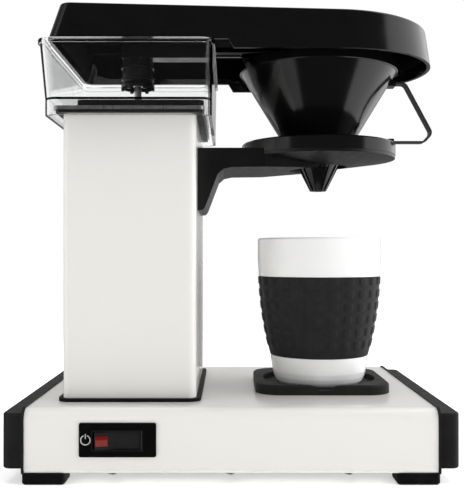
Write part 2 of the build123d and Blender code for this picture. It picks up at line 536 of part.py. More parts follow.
def mug():
    inner = SLEEVE_THICK + 0.05
    side = sleeve_edge(inner)
    low, high = side @ 0, side @ 1
    outside = Polyline((0, MUG_BASE + 1.2), (22.0, MUG_BASE + 1.2), (23.0, MUG_BASE), (26.6, MUG_BASE),
                       (28.0, 47.8), (29.6, 49.6), (30.9, 52.4), (31.8, 55.8), (32.9, 64.0),
                       (33.1, SLEEVE_LOW - 0.2), (low.X, SLEEVE_LOW - 0.2), (low.X, low.Y))
    over = Polyline((high.X, high.Y), (high.X, SLEEVE_TOP + 0.2), (41.2, SLEEVE_TOP + 0.2), (41.9, 132.0),
                    (41.9, 144.6), (41.0, MUG_TOP), (39.9, MUG_TOP), (39.1, 144.6))
    within = Spline((39.1, 144.6), (38.2, 122.0), (34.8, 92.0), (28.6, 64.0), (24.0, 54.6), (16.0, 52.2))
    floor = Polyline((16.0, 52.2), (0, 52.2), (0, MUG_BASE + 1.2))
    face = make_face(outside + side + over + within + floor)
    save("mug", Pos(MUG_X, AXIS_Y, 0) * revolve(Plane.XZ * face, Axis.Z))
    outer, lining = sleeve_edge(0), sleeve_edge(SLEEVE_THICK)
    ends = Line(lining @ 1, outer @ 1) + Line(lining @ 0, outer @ 0)
    sleeve = make_face(outer + lining + ends)
    save("mug_sleeve", Pos(MUG_X, AXIS_Y, 0) * revolve(Plane.XZ * sleeve, Axis.Z))


def cup_plate():
    outline = (PLATE_X - PLATE_WIDTH / 2, PLATE_Y - PLATE_DEPTH / 2, PLATE_X + PLATE_WIDTH / 2,
               PLATE_Y + PLATE_DEPTH / 2)
    plate = slab(outline, 0, BASE_TOP, 16, PLATE_TOP)
    plate = fillet(plate.faces().sort_by(Axis.Z)[-1].edges(), 1.6)
    plate -= rod(PLATE_X, AXIS_Y, PLATE_FLOOR, PLATE_TOP + 1, PLATE_RECESS)
    for x, y in PLATE_SCREWS:
        plate -= rod(x, y, BASE_TOP - 1, BASE_TOP + 4.2, 1.45)
    save("cup_plate", plate)
    save("plate_screws", *[screw(x, y, BASE_TOP - SHEET, 5.0) for x, y in PLATE_SCREWS])


# ---------------------------------------------------------------- water and heat
def boiler():
    """Cast heating block on a water tube, two heating rods, a bracket and two safety cut-outs."""
    side_x = RISER_X + BOILER_R - 0.6
    casting = rod(RISER_X, AXIS_Y, BOILER_LOW, BOILER_TOP, BOILER_R)
    casting -= rod(RISER_X, AXIS_Y, BOILER_LOW - 5, BOILER_TOP + 5, 5.05)
    casting -= block((side_x, AXIS_Y - 9, 149), (side_x + 5, AXIS_Y + 9, 167))
    casting -= rod(side_x + 1.6, AXIS_Y, 102, 126, 3.05)
    heaters = [(RISER_X, AXIS_Y + dy) for dy in (-11.0, 11.0)]
    for x, y in heaters:
        casting -= rod(x, y, BOILER_LOW + 6, BOILER_TOP + 5, 4.05)
    save("boiler_block", casting)
    save("boiler_tube", rod(RISER_X, AXIS_Y, 87.0, 194.0, 5.0) - rod(RISER_X, AXIS_Y, 80, 205, 3.8))
    rods = [rod(x, y, BOILER_LOW + 6, BOILER_TOP + 4, 4.0) + rod(x, y, BOILER_TOP + 4, BOILER_TOP + 12, 1.2)
            for x, y in heaters]
    save("heating_rods", *rods)
    clamp = rod(RISER_X, AXIS_Y, 130, 146, BOILER_R + 1.5) - rod(RISER_X, AXIS_Y, 128, 150, BOILER_R + 0.05)
    inner_back = COLUMN[3] - SHEET
    arm = block((RISER_X - 6, AXIS_Y + BOILER_R + 0.8, 130), (RISER_X + 6, inner_back - 1.5, 131.5))
    wall = block((RISER_X - 14, inner_back - 1.5, 122), (RISER_X + 14, inner_back, 154))
    save("boiler_bracket", clamp + arm + wall)
    stat = rod_x(side_x, side_x + 6, AXIS_Y, 158, 8.0)
    for y in (AXIS_Y - 6, AXIS_Y + 5.2):
        stat += block((side_x + 6, y, 155), (side_x + 13, y + 0.8, 161))
    save("thermostat", stat)
    save("thermal_fuse", rod(side_x + 1.6, AXIS_Y, 104, 124, 3.0) + rod(side_x + 3.6, AXIS_Y, 96, 132, 0.6))


def check_valve():
    """Upright ball valve under the boiler; the ball lifts as water is drawn in."""
    body = turned([(0, VALVE_LOW), (5.0, VALVE_LOW), (5.0, 69), (8.0, 70.5), (8.0, 82), (6.6, 83.5),
                   (6.6, VALVE_TOP), (0, VALVE_TOP)], RISER_X, AXIS_Y)
    body -= rod(RISER_X, AXIS_Y, VALVE_LOW - 1, 72, 2.6)
    body -= turned([(0, 72.0), (2.6, 72.0), (5.6, 75.0), (5.6, 82.0), (5.05, 83.0), (5.05, 95), (0, 95)],
                   RISER_X, AXIS_Y)
    body += rod_x(RISER_X - 5.8, RISER_X + 5.8, AXIS_Y, 84.0, 0.8)
    save("check_valve_body", body)
    save("check_valve_ball", Pos(RISER_X, AXIS_Y, 74.7) * Sphere(3.6))


def hoses():
    """Silicone hose from the tank outlet round to the valve, and from the boiler to the riser."""
    path = FilletPolyline((INLET_X, INLET_Y, 216), (INLET_X, INLET_Y, 50.5), (RISER_X, AXIS_Y, 50.5),
                          (RISER_X, AXIS_Y, 68.5), radius=11.0)
    section = Plane(path @ 0, z_dir=path % 0) * (Circle(7.0) - Circle(5.02))
    save("inlet_hose", sweep(section, path))
    upper = rod(RISER_X, AXIS_Y, 188, 210, 7.0) - rod(RISER_X, AXIS_Y, 180, 194.2, 5.03)
    save("riser_hose", upper - rod(RISER_X, AXIS_Y, 190, 220, 2.53))
    spots = [(INLET_X, INLET_Y, 211.0)] + [(RISER_X, AXIS_Y, z) for z in (65.5, 191.0, 206.5)]
    save("hose_clips", *[rod(x, y, z - 1.5, z + 1.5, 8.0) - rod(x, y, z - 5, z + 5, 7.03)
                         for x, y, z in spots])


def wiring():
    """Terminal block on the bottom plate beside the inlet, and the earth stud."""
    floor = BASE_LOW + 2 * SHEET
    terminals = block((-80, 50, floor), (-46, 66, floor + 12))
    spots = [(x, y) for x in (-74, -63, -52) for y in (54, 62)]
    for x, y in spots:
        terminals -= rod(x, y, floor + 8, floor + 14, 2.6)
    save("terminal_block", terminals)
    slot = Box(6, 0.8, 1.4)
    save("terminal_screws", *[rod(x, y, floor + 8, floor + 10.5, 2.5) - Pos(x, y, floor + 10.5) * slot
                              for x, y in spots])
    stud = rod(-100, 50, floor, floor + 12, 2.0)
    stud += Pos(-100, 50, floor) * extrude(RegularPolygon(4.0, 6), 3.2)
    save("earth_stud", stud)


base()
switch()
gland()
column()
tower_top()
tank()
riser()
lid()
holder()
funnel()
mug()
cup_plate()
boiler()
check_valve()
hoses()
wiring()
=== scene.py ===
"""A single-cup drip coffee maker in a plain white studio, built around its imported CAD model."""
import math

import bmesh
import bpy
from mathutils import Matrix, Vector

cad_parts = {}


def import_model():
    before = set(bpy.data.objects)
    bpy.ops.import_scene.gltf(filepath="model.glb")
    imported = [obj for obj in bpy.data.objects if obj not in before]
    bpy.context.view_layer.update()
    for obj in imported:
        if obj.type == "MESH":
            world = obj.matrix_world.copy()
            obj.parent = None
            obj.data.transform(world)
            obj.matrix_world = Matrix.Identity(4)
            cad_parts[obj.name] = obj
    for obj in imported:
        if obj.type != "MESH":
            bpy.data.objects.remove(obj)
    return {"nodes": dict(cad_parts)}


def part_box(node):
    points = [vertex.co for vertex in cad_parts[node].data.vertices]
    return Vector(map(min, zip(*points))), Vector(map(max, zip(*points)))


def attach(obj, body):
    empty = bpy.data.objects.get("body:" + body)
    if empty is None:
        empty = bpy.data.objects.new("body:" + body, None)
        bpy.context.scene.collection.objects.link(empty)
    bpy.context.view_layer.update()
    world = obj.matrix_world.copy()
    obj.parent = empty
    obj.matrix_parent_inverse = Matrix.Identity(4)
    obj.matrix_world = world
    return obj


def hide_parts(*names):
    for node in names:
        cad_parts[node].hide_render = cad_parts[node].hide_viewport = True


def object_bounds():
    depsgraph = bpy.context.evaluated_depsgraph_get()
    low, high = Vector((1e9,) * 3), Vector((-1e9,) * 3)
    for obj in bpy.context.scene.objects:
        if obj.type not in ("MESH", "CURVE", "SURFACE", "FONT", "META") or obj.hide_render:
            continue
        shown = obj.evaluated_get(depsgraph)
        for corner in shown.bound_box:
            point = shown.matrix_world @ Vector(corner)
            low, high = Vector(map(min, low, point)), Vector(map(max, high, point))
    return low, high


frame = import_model()
cad_low, cad_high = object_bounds()
nodes = frame["nodes"]

MM = 0.001
CENTRE = (cad_low + cad_high) / 2

# The camera stands level in front of the object. Lengths are in metres, the lens is in millimetres.
CAMERA_SIDE = -0.0025
CAMERA_BEFORE_FRONT = 0.4628
CAMERA_HIGH = 0.1346
CAMERA_LENS = 58.9
CAMERA_SHIFT = (0.0055, 0.0204)

# The room as reflections and bounced light see it, as (direction's y from -1 to 1, brightness):
# dark in front and brighter behind. Below the horizon it is darker by the factor ROOM_BELOW, and
# the change lies between the two heights of HORIZON.
ROOM = [(-0.4, 0.10), (0.2, 0.20), (0.7, 0.34), (0.94, 0.55)]
ROOM_BELOW = 0.45
HORIZON = (-0.05, 0.25)

# Tall reflector panels round the room, as (azimuth, brightness): degrees from the front to the right.
PANELS = [(-84, 0.0), (-79, 0.45), (-50, 0.75), (-46, 0.0),
          (62, 0.0), (67, 1.3), (140, 1.3), (160, 0.0)]

# The white backdrop. Through clear plastic it dims upwards to BACKDROP_ABOVE between two heights,
# and a reflection inside the plastic finds it only behind the object, past BEHIND.
BACKDROP = 1.0
BACKDROP_ABOVE = 0.25
BACKDROP_DIMS = (0.3, 0.7)
BEHIND = (-0.1, 0.3)

# The floor stays plain near the object and turns into the backdrop further out. Lengths are in
# metres, apart from FLOOR_DROP, which is how many millimetres it lies below the object.
FLOOR_RADII = [0.01, 0.3, 0.6, 1.0, 2.0, 6.0]
FLOOR_SIDES = 96
FLOOR_FADE = (0.32, 0.85)
FLOOR_LIFT = 0.42
FLOOR_DROP = 0.05

# Softboxes: azimuth from the front towards the right and elevation in degrees, distance, width and
# height in metres, radiance. They light matte surfaces and aren't mirrored in the glossy ones.
SOFTBOXES = {
    "overhead": (0, 89, 1.3, 1.6, 1.6, 1.1),
    "front_fill": (-12, 14, 1.7, 2.0, 1.4, 0.34),
    "left_fill": (-80, 15, 1.5, 1.6, 1.4, 1.3),
    "right_fill": (80, 15, 1.5, 1.6, 1.4, 2.1),
    "back_fill": (180, 20, 1.7, 2.0, 1.4, 0.50),
}
AREA_LIGHT_FACTOR = 4.0

# The mug's rubber sleeve, in millimetres.
SLEEVE_FOOT_INSET = 7.9
SLEEVE_BULGE = 6.0
SLEEVE_THICK = 1.85
SLEEVE_ROUND = 0.45
SLEEVE_ROUND_STEPS = 3
SLEEVE_INNER_RING = 13         # from the middle to the inner rings above and below it
GRIP_COLUMNS = 24
GRIP_ROWS = 6
GRIP_PITCH = 8.38
GRIP_FIRST = 2.8
GRIP_HALF = 2.4
GRIP_CORNER = 0.7
GRIP_HIGH = 0.5
# A grip square's edge, as (distance outside it, share of the height).
GRIP_SLOPE = [(-0.35, 1.0), (0.0, 0.93), (0.18, 0.6), (0.34, 0.22), (0.5, 0.0)]

# The dark matte lining inside the cover is painted shade: a sheet that darkens the cover's inside.
# Lengths are in millimetres. Its walls are judged by the direction from a line along the cover's
# middle, which starts the end length below from the square end.
SHADE_LINING_END = 40.0
SHADE_LINING_LOW = 8.0
SHADE_LINING_GAP = 0.12
SHADE_LINING_THICK = 0.15
SHADE_LINING_CEILING = -0.5          # a ceiling's normal points down at least this much
SHADE_LINING_INWARD = -0.3           # a wall's normal points inwards at least this much
SHADE_LINING_UPRIGHT = 0.5           # and up or down by less than this

# The on and off mark printed beside the rocker, in millimetres.
MARK_INSET = 1.15
MARK_RADIUS = 2.75
MARK_LINE = 0.62
MARK_THICK = 0.08
MARK_SUNK = 0.01               # how far it reaches into the plate
MARK_BAR = (0.3, 0.8, 1.3)     # the bar's points, as shares of the ring's radius
MARK_GAP = 24                  # half of the ring's gap, in degrees
MARK_STEPS = 30

# Nodes whose finish isn't the one of their material slot.
OWN_FINISH = {
    "end_cap_left": "cap_grain",
    "end_cap_right": "cap_grain",
    "end_plate_left": "cap_grain",
    "end_plate_right": "cap_grain",
    "cable_gland": "cap_grain",
    "gland_nut": "cap_grain",
    "cup_plate": "pad_grain",
    "rocker": "rocker_satin",
    "filter_funnel": "funnel_gloss",
}


# ---------------------------------------------------------------- shading helpers

def new_material(name):
    """A material with its node tree and its shader."""
    material = bpy.data.materials.new(name)
    material.use_nodes = True
    tree = material.node_tree
    return material, tree, tree.nodes["Principled BSDF"]


def place(tree, stretch=(1, 1, 1)):
    """Object coordinates in metres, stretched by the given factors."""
    coordinates = tree.nodes.new("ShaderNodeTexCoord")
    mapping = tree.nodes.new("ShaderNodeMapping")
    mapping.inputs["Scale"].default_value = stretch
    tree.links.new(coordinates.outputs["Object"], mapping.inputs["Vector"])
    return mapping.outputs["Vector"]


def noise(tree, where, size, detail=3.0, roughness=0.5):
    """Soft noise whose blotches are about size millimetres across."""
    node = tree.nodes.new("ShaderNodeTexNoise")
    node.inputs["Scale"].default_value = 1 / (size * MM)
    node.inputs["Detail"].default_value = detail
    node.inputs["Roughness"].default_value = roughness
    tree.links.new(where, node.inputs["Vector"])
    return node.outputs["Fac"]


def cells(tree, where, size):
    """Rounded cells about size millimetres across, like moulded grain."""
    node = tree.nodes.new("ShaderNodeTexVoronoi")
    node.feature = "SMOOTH_F1"
    node.inputs["Scale"].default_value = 1 / (size * MM)
    tree.links.new(where, node.inputs["Vector"])
    return node.outputs["Distance"]


def remap(tree, value, low, high, from_low=0.3, from_high=0.7):
    """A value moved from one range to another; the first range suits noise."""
    node = tree.nodes.new("ShaderNodeMapRange")
    node.inputs["From Min"].default_value = from_low
    node.inputs["From Max"].default_value = from_high
    node.inputs["To Min"].default_value = low
    node.inputs["To Max"].default_value = high
    tree.links.new(value, node.inputs["Value"])
    return node.outputs["Result"]


def ramp(tree, value, stops):
    """Colours along a value, as (position, (red, green, blue)) stops."""
    node = tree.nodes.new("ShaderNodeValToRGB")
    band = node.color_ramp
    while len(band.elements) < len(stops):
        band.elements.new(0.5)
    for element, (position, colour) in zip(band.elements, stops):
        element.position = position
        element.color = (*colour, 1.0)
    tree.links.new(value, node.inputs["Fac"])
    return node.outputs["Color"]


def grey(level):
    """A neutral colour."""
    return (level, level, level)


def bump(tree, height, depth, under=None):
    """A normal from a height that is depth millimetres deep."""
    node = tree.nodes.new("ShaderNodeBump")
    node.inputs["Strength"].default_value = 1.0
    node.inputs["Distance"].default_value = depth * MM
    tree.links.new(height, node.inputs["Height"])
    if under is not None:
        tree.links.new(under, node.inputs["Normal"])
    return node.outputs["Normal"]


def mottled(tree, shader, dark, light, size, rough, rough_size):
    """Links a slow colour change and a slow roughness change to the shader."""
    where = place(tree)
    colour = ramp(tree, noise(tree, where, size), [(0.3, dark), (0.7, light)])
    tree.links.new(colour, shader.inputs["Base Color"])
    shine = remap(tree, noise(tree, where, rough_size), rough[0], rough[1])
    tree.links.new(shine, shader.inputs["Roughness"])
    return where


# ---------------------------------------------------------------- materials

def enamel():
    """Warm white stove enamel on sheet metal, with a faint orange peel."""
    material, tree, shader = new_material("enamel_white")
    where = mottled(tree, shader, (0.7745, 0.7625, 0.732), (0.7765, 0.7645, 0.734), 240,
                    (0.26, 0.27), 90)
    peel = bump(tree, noise(tree, where, 2.6, 1.0), 0.012)
    tree.links.new(peel, shader.inputs["Coat Normal"])
    shader.inputs["Coat Weight"].default_value = 0.6
    shader.inputs["Coat Roughness"].default_value = 0.07
    return material


def moulded(name, dark, light, rough, grain, depth, peel=0.0, shine=0.5):
    """Moulded plastic: a slow colour change, a grain of the given size and depth, and long waves."""
    material, tree, shader = new_material(name)
    where = mottled(tree, shader, dark, light, 14, rough, 5)
    surface = bump(tree, cells(tree, where, grain), depth)
    if peel:
        surface = bump(tree, noise(tree, where, 7, 1.0), peel, surface)
    tree.links.new(surface, shader.inputs["Normal"])
    shader.inputs["Specular IOR Level"].default_value = shine
    return material


def rubber(name, dark, light, rough, shine=0.16):
    """Matte rubber with a fine dusty grain."""
    material, tree, shader = new_material(name)
    where = mottled(tree, shader, dark, light, 6, rough, 2)
    grain = bump(tree, noise(tree, where, 0.35, 4.0, 0.7), 0.03)
    tree.links.new(grain, shader.inputs["Normal"])
    shader.inputs["Specular IOR Level"].default_value = shine
    return material


def clear_plastic():
    """Water-clear tank plastic with faint moulding waves."""
    material, tree, shader = new_material("tank_clear")
    where = place(tree)
    tint = ramp(tree, noise(tree, where, 45),
                [(0.3, (0.965, 0.972, 0.972)), (0.7, (0.99, 0.992, 0.99))])
    tree.links.new(tint, shader.inputs["Base Color"])
    shine = remap(tree, noise(tree, where, 12), 0.0, 0.03)
    tree.links.new(shine, shader.inputs["Roughness"])
    waves = bump(tree, noise(tree, where, 16, 1.0), 0.05)
    tree.links.new(waves, shader.inputs["Normal"])
    shader.inputs["Transmission Weight"].default_value = 1.0
    shader.inputs["IOR"].default_value = 1.38
    return material


def metal(name, dark, light, rough, stretch, size, depth):
    """Metal with drawn lines or cast mottling, by how its noise is stretched."""
    material, tree, shader = new_material(name)
    where = place(tree, stretch)
    lines = noise(tree, where, size, 4.0)
    tree.links.new(ramp(tree, lines, [(0.3, dark), (0.7, light)]), shader.inputs["Base Color"])
    tree.links.new(remap(tree, lines, rough[0], rough[1]), shader.inputs["Roughness"])
    tree.links.new(bump(tree, lines, depth), shader.inputs["Normal"])
    shader.inputs["Metallic"].default_value = 1.0
    return material


def porcelain():
    """White glazed porcelain, slightly uneven as fired glaze is."""
    material, tree, shader = new_material("porcelain_glaze")
    where = mottled(tree, shader, (0.83, 0.83, 0.825), (0.86, 0.86, 0.855), 30, (0.05, 0.09), 12)
    glaze = bump(tree, noise(tree, where, 14, 1.0), 0.03)
    tree.links.new(glaze, shader.inputs["Normal"])
    shader.inputs["Subsurface Weight"].default_value = 0.08
    shader.inputs["Subsurface Scale"].default_value = 0.002
    return material


def silicone():
    """Milky silicone hose."""
    material, tree, shader = new_material("silicone_milky")
    where = mottled(tree, shader, (0.62, 0.62, 0.59), (0.72, 0.72, 0.69), 8, (0.3, 0.42), 4)
    tree.links.new(bump(tree, noise(tree, where, 3), 0.03), shader.inputs["Normal"])
    shader.inputs["Subsurface Weight"].default_value = 0.2
    shader.inputs["Subsurface Scale"].default_value = 0.003
    return material


def lens_red(low, high):
    """The rocker's red window: darker at its top, with fine moulded bars across its lower part."""
    material, tree, shader = new_material("lens_red")
    where = place(tree)
    axes = tree.nodes.new("ShaderNodeSeparateXYZ")
    tree.links.new(where, axes.inputs["Vector"])
    up = remap(tree, axes.outputs["Z"], 0.0, 1.0, low, high)
    body = ramp(tree, up, [(0.0, (0.20, 0.028, 0.022)), (0.55, (0.21, 0.032, 0.026)),
                           (0.68, (0.13, 0.004, 0.004)), (1.0, (0.12, 0.003, 0.003))])
    tree.links.new(body, shader.inputs["Base Color"])
    bars = tree.nodes.new("ShaderNodeTexWave")
    bars.bands_direction = "Z"
    bars.inputs["Scale"].default_value = 150
    bars.inputs["Distortion"].default_value = 0.0
    tree.links.new(where, bars.inputs["Vector"])
    tree.links.new(bump(tree, bars.outputs["Fac"], 0.12), shader.inputs["Normal"])
    tree.links.new(remap(tree, noise(tree, where, 2), 0.12, 0.22), shader.inputs["Roughness"])
    shader.inputs["Coat Weight"].default_value = 0.5
    shader.inputs["Coat Roughness"].default_value = 0.05
    return material


def print_grey():
    """Pale grey pad print."""
    material, tree, shader = new_material("print_grey")
    where = mottled(tree, shader, (0.42, 0.42, 0.41), (0.55, 0.55, 0.54), 0.8, (0.4, 0.55), 0.6)
    tree.links.new(bump(tree, noise(tree, where, 0.3), 0.01), shader.inputs["Normal"])
    return material


def black_finishes():
    """The black plastics and rubbers, from the glossiest mouldings to the matte ones."""
    return {
        "black_gloss": moulded("gloss_black", grey(0.0016), grey(0.0026), (0.13, 0.20),
                               grain=0.9, depth=0.004, peel=0.03),
        "funnel_gloss": moulded("plastic_funnel", grey(0.0025), grey(0.004), (0.12, 0.18),
                                grain=0.6, depth=0.003, peel=0.02),
        "black_plastic": moulded("plastic_black", grey(0.0035), grey(0.006), (0.30, 0.42),
                                 grain=0.5, depth=0.012, peel=0.05),
        "rocker_satin": moulded("plastic_rocker", grey(0.011), grey(0.016), (0.32, 0.42),
                                grain=0.5, depth=0.015),
        "strap_black": moulded("strap_black", grey(0.020), grey(0.028), (0.40, 0.52),
                               grain=0.5, depth=0.02),
        "cap_grain": moulded("plastic_cap_grain", grey(0.011), grey(0.016), (0.50, 0.60),
                             grain=0.9, depth=0.10, shine=0.16),
        "pad_grain": moulded("plastic_pad_grain", (0.013, 0.013, 0.0125), (0.018, 0.018, 0.017),
                             (0.50, 0.62), grain=0.8, depth=0.07, shine=0.14),
        "black_rubber": rubber("rubber_black", grey(0.003), grey(0.006), (0.55, 0.7)),
        "sleeve_rubber": rubber("rubber_sleeve", (0.017, 0.017, 0.0176), (0.022, 0.022, 0.0228),
                                (0.50, 0.60), shine=0.09),
        # The dark matte sheet inside the cover, which is painted shade.
        "painted_shade_matte": rubber("painted_shade_matte", grey(0.0012), grey(0.002), (0.8, 0.95)),
    }


def metal_finishes():
    """Drawn steel and brass, plated wire and cast aluminium."""
    drawn = (1.0, 1.0, 0.06)
    even = (1.0, 1.0, 1.0)
    return {
        "steel": metal("steel_drawn", (0.46, 0.46, 0.45), (0.60, 0.60, 0.59), (0.24, 0.38),
                       drawn, size=0.5, depth=0.006),
        "chrome": metal("chrome_plate", (0.62, 0.63, 0.64), (0.72, 0.73, 0.74), (0.05, 0.12),
                        even, size=6, depth=0.01),
        "aluminium": metal("aluminium_cast", grey(0.50), grey(0.66), (0.35, 0.55),
                           even, size=1.4, depth=0.05),
        "brass": metal("brass_drawn", (0.56, 0.40, 0.14), (0.70, 0.52, 0.22), (0.22, 0.36),
                       drawn, size=0.6, depth=0.008),
    }


def make_looks():
    """Every finish by name: the record's material slots and the names in OWN_FINISH."""
    lens_low, lens_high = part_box("rocker_lens")
    return {
        "painted_shell": enamel(),
        "clear_plastic": clear_plastic(),
        "silicone": silicone(),
        "porcelain": porcelain(),
        "red_lens": lens_red(lens_low.z, lens_high.z),
        "print_grey": print_grey(),
        **black_finishes(),
        **metal_finishes(),
    }


def dress_nodes(looks):
    """Gives every CAD node its finish, by its material slot or by its own name."""
    for name, obj in nodes.items():
        slot = obj.material_slots[0].material.name.split(".")[0]
        obj.material_slots[0].material = looks[OWN_FINISH.get(name, slot)]


# ---------------------------------------------------------------- mesh helpers

def mesh_piece(name, points, faces, material, smooth=True):
    """A mesh object from points and faces, with its faces turned outwards."""
    mesh = bpy.data.meshes.new(name)
    mesh.from_pydata(points, [], faces)
    work = bmesh.new()
    work.from_mesh(mesh)
    bmesh.ops.recalc_face_normals(work, faces=work.faces)
    for face in work.faces:
        face.smooth = smooth
    work.to_mesh(mesh)
    work.free()
    mesh.materials.append(material)
    piece = bpy.data.objects.new(name, mesh)
    bpy.context.scene.collection.objects.link(piece)
    return piece


def ring_faces(around, along, closed_along=True):
    """Quads of a grid that closes round its first direction, and along its second if asked."""
    faces = []
    for j in range(along if closed_along else along - 1):
        for i in range(around):
            a = j * around + i
            b = j * around + (i + 1) % around
            c = ((j + 1) % along) * around + (i + 1) % around
            d = ((j + 1) % along) * around + i
            faces.append((a, b, c, d))
    return faces


def ribbon(points, half, back, front):
    """Points and faces of a flat strip along a line of (x, z) points, from y back to y front."""
    made = []
    for i, (x, z) in enumerate(points):
        x0, z0 = points[max(i - 1, 0)]
        x1, z1 = points[min(i + 1, len(points) - 1)]
        length = math.hypot(x1 - x0, z1 - z0)
        side_x = -(z1 - z0) / length * half
        side_z = (x1 - x0) / length * half
        made.append((x - side_x, back, z - side_z))
        made.append((x - side_x, front, z - side_z))
        made.append((x + side_x, front, z + side_z))
        made.append((x + side_x, back, z + side_z))
    faces = []
    for i in range(len(points) - 1):
        for k in range(4):
            faces.append((4 * i + k, 4 * i + (k + 1) % 4, 4 * i + 4 + (k + 1) % 4, 4 * i + 4 + k))
    last = 4 * (len(points) - 1)
    faces.append((0, 1, 2, 3))
    faces.append((last, last + 1, last + 2, last + 3))
    return made, faces


# ---------------------------------------------------------------- the mug's sleeve

def slope_height(distance):
    """Height of a grip square, as a share, at a distance in mm outside its edge."""
    if distance <= GRIP_SLOPE[0][0]:
        return 1.0
    for (d0, h0), (d1, h1) in zip(GRIP_SLOPE, GRIP_SLOPE[1:]):
        if distance <= d1:
            return h0 + (h1 - h0) * (distance - d0) / (d1 - d0)
    return 0.0


def square_distance(u, v):
    """Distance in mm from the rim of a round-cornered square, negative inside."""
    inner = GRIP_HALF - GRIP_CORNER
    du = abs(u) - inner
    dv = abs(v) - inner
    return math.hypot(max(du, 0), max(dv, 0)) + min(max(du, dv), 0) - GRIP_CORNER


def edge_lines(centres, last_gap):
    """Grid lines that follow the edges of squares at the given centres, in mm."""
    lines = []
    for centre in centres:
        for side in (-1, 1):
            for offset, _ in GRIP_SLOPE:
                lines.append(centre + side * (GRIP_HALF + offset))
        lines.append(centre)
        lines.append(centre + last_gap / 2)
    return sorted(lines)


def rounded_edge(end, inwards):
    """Heights and insets of the quarter round at one end, from the sleeve's side to its end face."""
    points = []
    for step in range(SLEEVE_ROUND_STEPS + 1):
        angle = math.radians(90 * step / SLEEVE_ROUND_STEPS)
        height = end + inwards * SLEEVE_ROUND * (1 - math.sin(angle))
        points.append((height, -SLEEVE_ROUND * (1 - math.cos(angle))))
    return points


def sleeve(looks):
    """The rubber sleeve with its raised grip squares, as one closed shell round the mug."""
    low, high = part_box("mug_sleeve")
    axis_x = (low.x + high.x) / 2
    axis_y = (low.y + high.y) / 2
    foot = low.z / MM
    top = high.z / MM
    middle = (top + foot) / 2
    top_radius = (high.x - low.x) / 2 / MM

    def outer(z):
        t = (z - foot) / (top - foot)
        return top_radius - SLEEVE_FOOT_INSET * (1 - t) + SLEEVE_BULGE * t * (1 - t)

    rows = [top - GRIP_FIRST - GRIP_PITCH * k for k in range(GRIP_ROWS)]
    pitch = 2 * math.pi * outer(middle) / GRIP_COLUMNS
    columns = [pitch * (k + 0.5) for k in range(GRIP_COLUMNS)]
    turn = 2 * math.pi / (pitch * GRIP_COLUMNS)
    across = edge_lines(columns, pitch)
    sides = [z for z in edge_lines(rows, GRIP_PITCH) if foot + SLEEVE_ROUND < z < top - SLEEVE_ROUND]
    profile = rounded_edge(foot, 1)[::-1] + [(z, 0.0) for z in sides] + rounded_edge(top, -1)
    inside = [top, middle + SLEEVE_INNER_RING, middle, middle - SLEEVE_INNER_RING, foot]

    def grip(u, z):
        column = min(columns, key=lambda c: abs(c - u))
        row = min(rows, key=lambda r: abs(r - z))
        return GRIP_HIGH * slope_height(square_distance(u - column, z - row))

    def round_the_mug(radius, u, z):
        angle = u * turn
        return (axis_x + radius * MM * math.sin(angle), axis_y - radius * MM * math.cos(angle), z * MM)

    points = []
    for z, inset in profile:
        for u in across:
            raised = grip(u, z) if inset == 0 else 0
            points.append(round_the_mug(outer(z) + inset + raised, u, z))
    for z in inside:
        points += [round_the_mug(outer(z) - SLEEVE_THICK, u, z) for u in across]
    faces = ring_faces(len(across), len(profile) + len(inside))
    piece = mesh_piece("mug_sleeve_grip", points, faces, looks["sleeve_rubber"])
    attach(piece, "cup")
    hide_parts("mug_sleeve")


# ---------------------------------------------------------------- painted shade inside the cover

def painted_shade_lining(looks):
    """A thin dark matte sheet on the inside of the cover, made from the cover's own inner faces:
    painted shade.
    """
    low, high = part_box("lid")
    middle_y = (low.y + high.y) / 2
    end_x = high.x - (high.y - low.y) / 2
    work = bmesh.new()
    work.from_mesh(nodes["lid"].data)
    bmesh.ops.remove_doubles(work, verts=work.verts, dist=1e-6)
    outer = []
    for face in work.faces:
        centre = face.calc_center_median()
        nearest_x = min(max(centre.x, low.x + SHADE_LINING_END * MM), end_x)
        out = Vector((centre.x - nearest_x, centre.y - middle_y)).normalized()
        ceiling = face.normal.z < SHADE_LINING_CEILING and centre.z > low.z + SHADE_LINING_LOW * MM
        inward = face.normal.xy.dot(out) < SHADE_LINING_INWARD and abs(face.normal.z) < SHADE_LINING_UPRIGHT
        if not (ceiling or inward):
            outer.append(face)
    bmesh.ops.delete(work, geom=outer, context="FACES")
    for vert in work.verts:
        vert.co += vert.normal * SHADE_LINING_GAP * MM
        vert.co.z = max(vert.co.z, low.z + SHADE_LINING_LOW * MM)
    mesh = bpy.data.meshes.new("painted_shade_lining")
    work.to_mesh(mesh)
    work.free()
    # The sheet gets the dark matte finish that paints shade inside the cover.
    mesh.materials.clear()
    mesh.materials.append(looks["painted_shade_matte"])
    piece = bpy.data.objects.new("painted_shade_lining", mesh)
    bpy.context.scene.collection.objects.link(piece)
    shell = piece.modifiers.new("thickness", "SOLIDIFY")
    shell.thickness = SHADE_LINING_THICK * MM
    shell.offset = 1.0
    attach(piece, "cover")


# ---------------------------------------------------------------- the switch mark

def power_mark(looks):
    """The ring and bar beside the rocker, printed on the switch plate."""
    low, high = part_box("switch_plate")
    x = low.x + (MARK_INSET + MARK_RADIUS) * MM
    z = (low.z + high.z) / 2
    back = low.y + MARK_SUNK * MM
    front = low.y - MARK_THICK * MM
    ring = []
    for step in range(MARK_STEPS + 1):
        angle = math.radians(MARK_GAP + (360 - 2 * MARK_GAP) * step / MARK_STEPS)
        ring.append((x + MARK_RADIUS * MM * math.sin(angle), z + MARK_RADIUS * MM * math.cos(angle)))
    bar = [(x, z + MARK_RADIUS * MM * share) for share in MARK_BAR]
    points, faces = ribbon(ring, MARK_LINE / 2 * MM, back, front)
    more, more_faces = ribbon(bar, MARK_LINE / 2 * MM, back, front)
    faces += [tuple(i + len(points) for i in face) for face in more_faces]
    piece = mesh_piece("power_mark", points + more, faces, looks["print_grey"], smooth=False)
    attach(piece, "base")


# ---------------------------------------------------------------- studio

